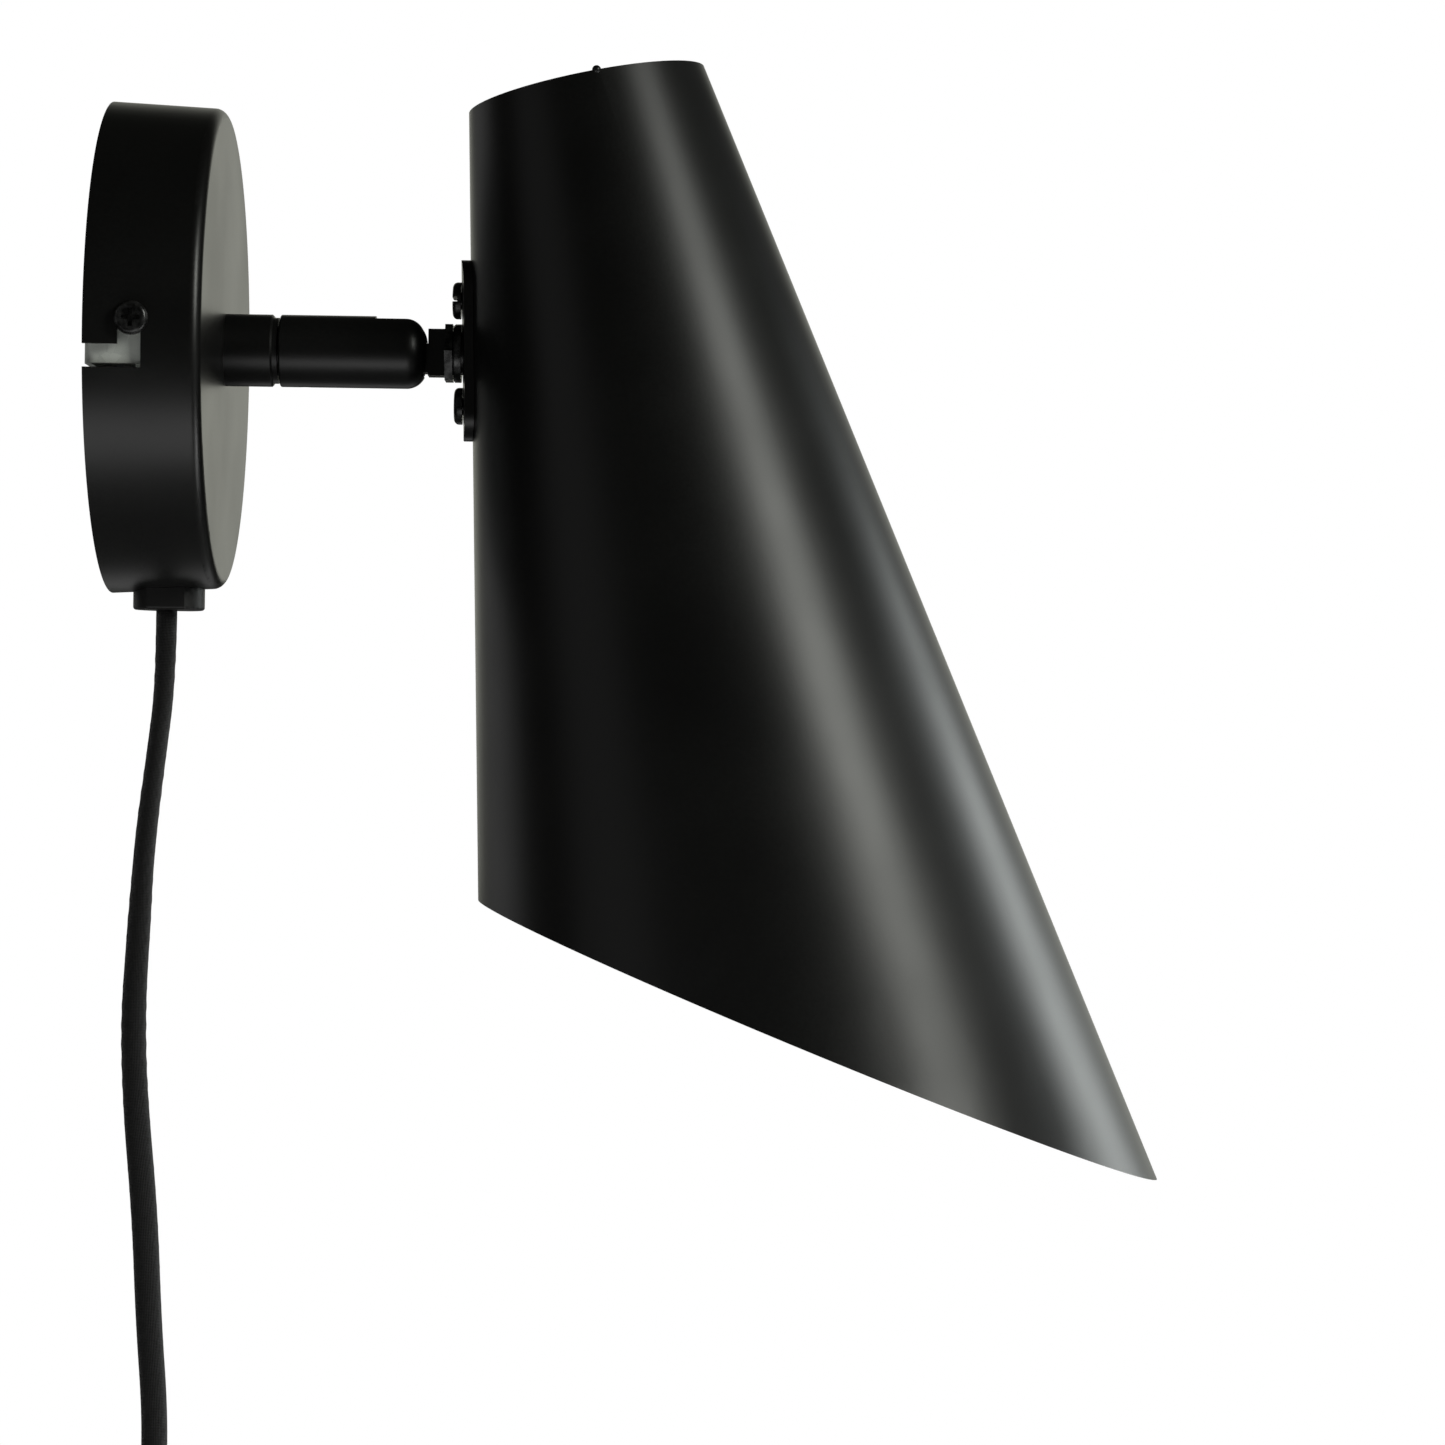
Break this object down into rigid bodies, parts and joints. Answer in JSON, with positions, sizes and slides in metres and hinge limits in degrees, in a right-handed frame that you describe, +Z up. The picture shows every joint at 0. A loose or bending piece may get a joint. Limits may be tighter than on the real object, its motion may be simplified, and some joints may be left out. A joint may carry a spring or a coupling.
{
  "type": "plug-in wall sconce",
  "caption": "Plug-in wall lamp: a round canopy, a short neck with a swivel and a tilting knuckle, a slanted cone shade, and a textile cord with switch and plug.",
  "frame": {"origin": "centre of the canopy's back plane, on the wall", "axes": "+X out of the wall along the neck, +Z up, +Y sideways"},
  "size_m": [0.2393, 0.1452, 0.5272],
  "materials": {
    "black_powder_coat": "satin powder coat",
    "black_steel": "black oxide",
    "zinc_steel": "zinc plated, dull",
    "brass": "turned",
    "black_plastic": "moulded, fine grain",
    "white_plastic": "moulded",
    "terminal_plastic": "moulded nylon",
    "nickel": "nickel plated",
    "opal_glass": "opal",
    "brown_wire": "wire sheath",
    "blue_wire": "wire sheath",
    "white_wire": "heatproof sleeve",
    "black_textile": "woven textile sleeve",
    "tie_fabric": "hook and loop strap"
  },
  "bodies": {
    "wall_base": {"wall_bracket": "zinc_steel", "canopy": "black_powder_coat", "canopy_screws": "black_steel", "strain_relief": "black_plastic", "strain_relief_nut": "black_plastic", "terminal_block": "terminal_plastic", "terminal_screws": "zinc_steel", "brown_wires": "brown_wire", "blue_wires": "blue_wire", "neck_nipple": "zinc_steel", "nipple_lock_washer": "zinc_steel", "nipple_nut": "zinc_steel", "neck_collar": "black_powder_coat", "cord_run": "black_textile", "cord_lower": "black_textile", "cord_coil": "black_textile", "cord_tail": "black_textile", "cord_tie": "tie_fabric", "switch_back": "black_plastic", "switch_front": "black_plastic", "switch_screws": "zinc_steel", "plug_body": "black_plastic", "plug_pins": "nickel"},
    "knuckle": {"knuckle_body": "black_powder_coat", "swivel_grub_screw": "black_steel", "pivot_screw": "black_steel", "friction_washers": "brass"},
    "shade_head": {"knuckle_tongue": "black_powder_coat", "stud_lock_nut": "black_steel", "stud_washer": "black_steel", "shade": "black_powder_coat", "shade_bracket": "black_powder_coat", "holder_bracket": "zinc_steel", "shade_screws": "black_steel", "shade_nuts": "zinc_steel", "stud_nut": "zinc_steel", "lamp_holder": "black_plastic", "holder_nipple": "zinc_steel", "holder_nut": "zinc_steel", "holder_shell": "nickel", "holder_contact": "brass", "holder_wires": "white_wire", "lamp_cap": "nickel", "lamp_collar": "white_plastic", "lamp_globe": "opal_glass"},
    "rocker": {"switch_rocker": "black_plastic"}
  },
  "joints": [
    {"name": "neck_swivel", "type": "hinge", "parent": "wall_base", "child": "knuckle", "pos_m": [0.0432, 0, 0], "axis": [1, 0, 0], "range_deg": [-170, 170]},
    {"name": "shade_tilt", "type": "hinge", "parent": "knuckle", "child": "shade_head", "pos_m": [0.0662, 0, 0], "axis": [0, -1, 0], "range_deg": [0, 55]},
    {"name": "switch_rock", "type": "hinge", "parent": "wall_base", "child": "rocker", "pos_m": [0.0195, 0, -0.283], "axis": [0, 1, 0], "range_deg": [0, 16]}
  ]
}
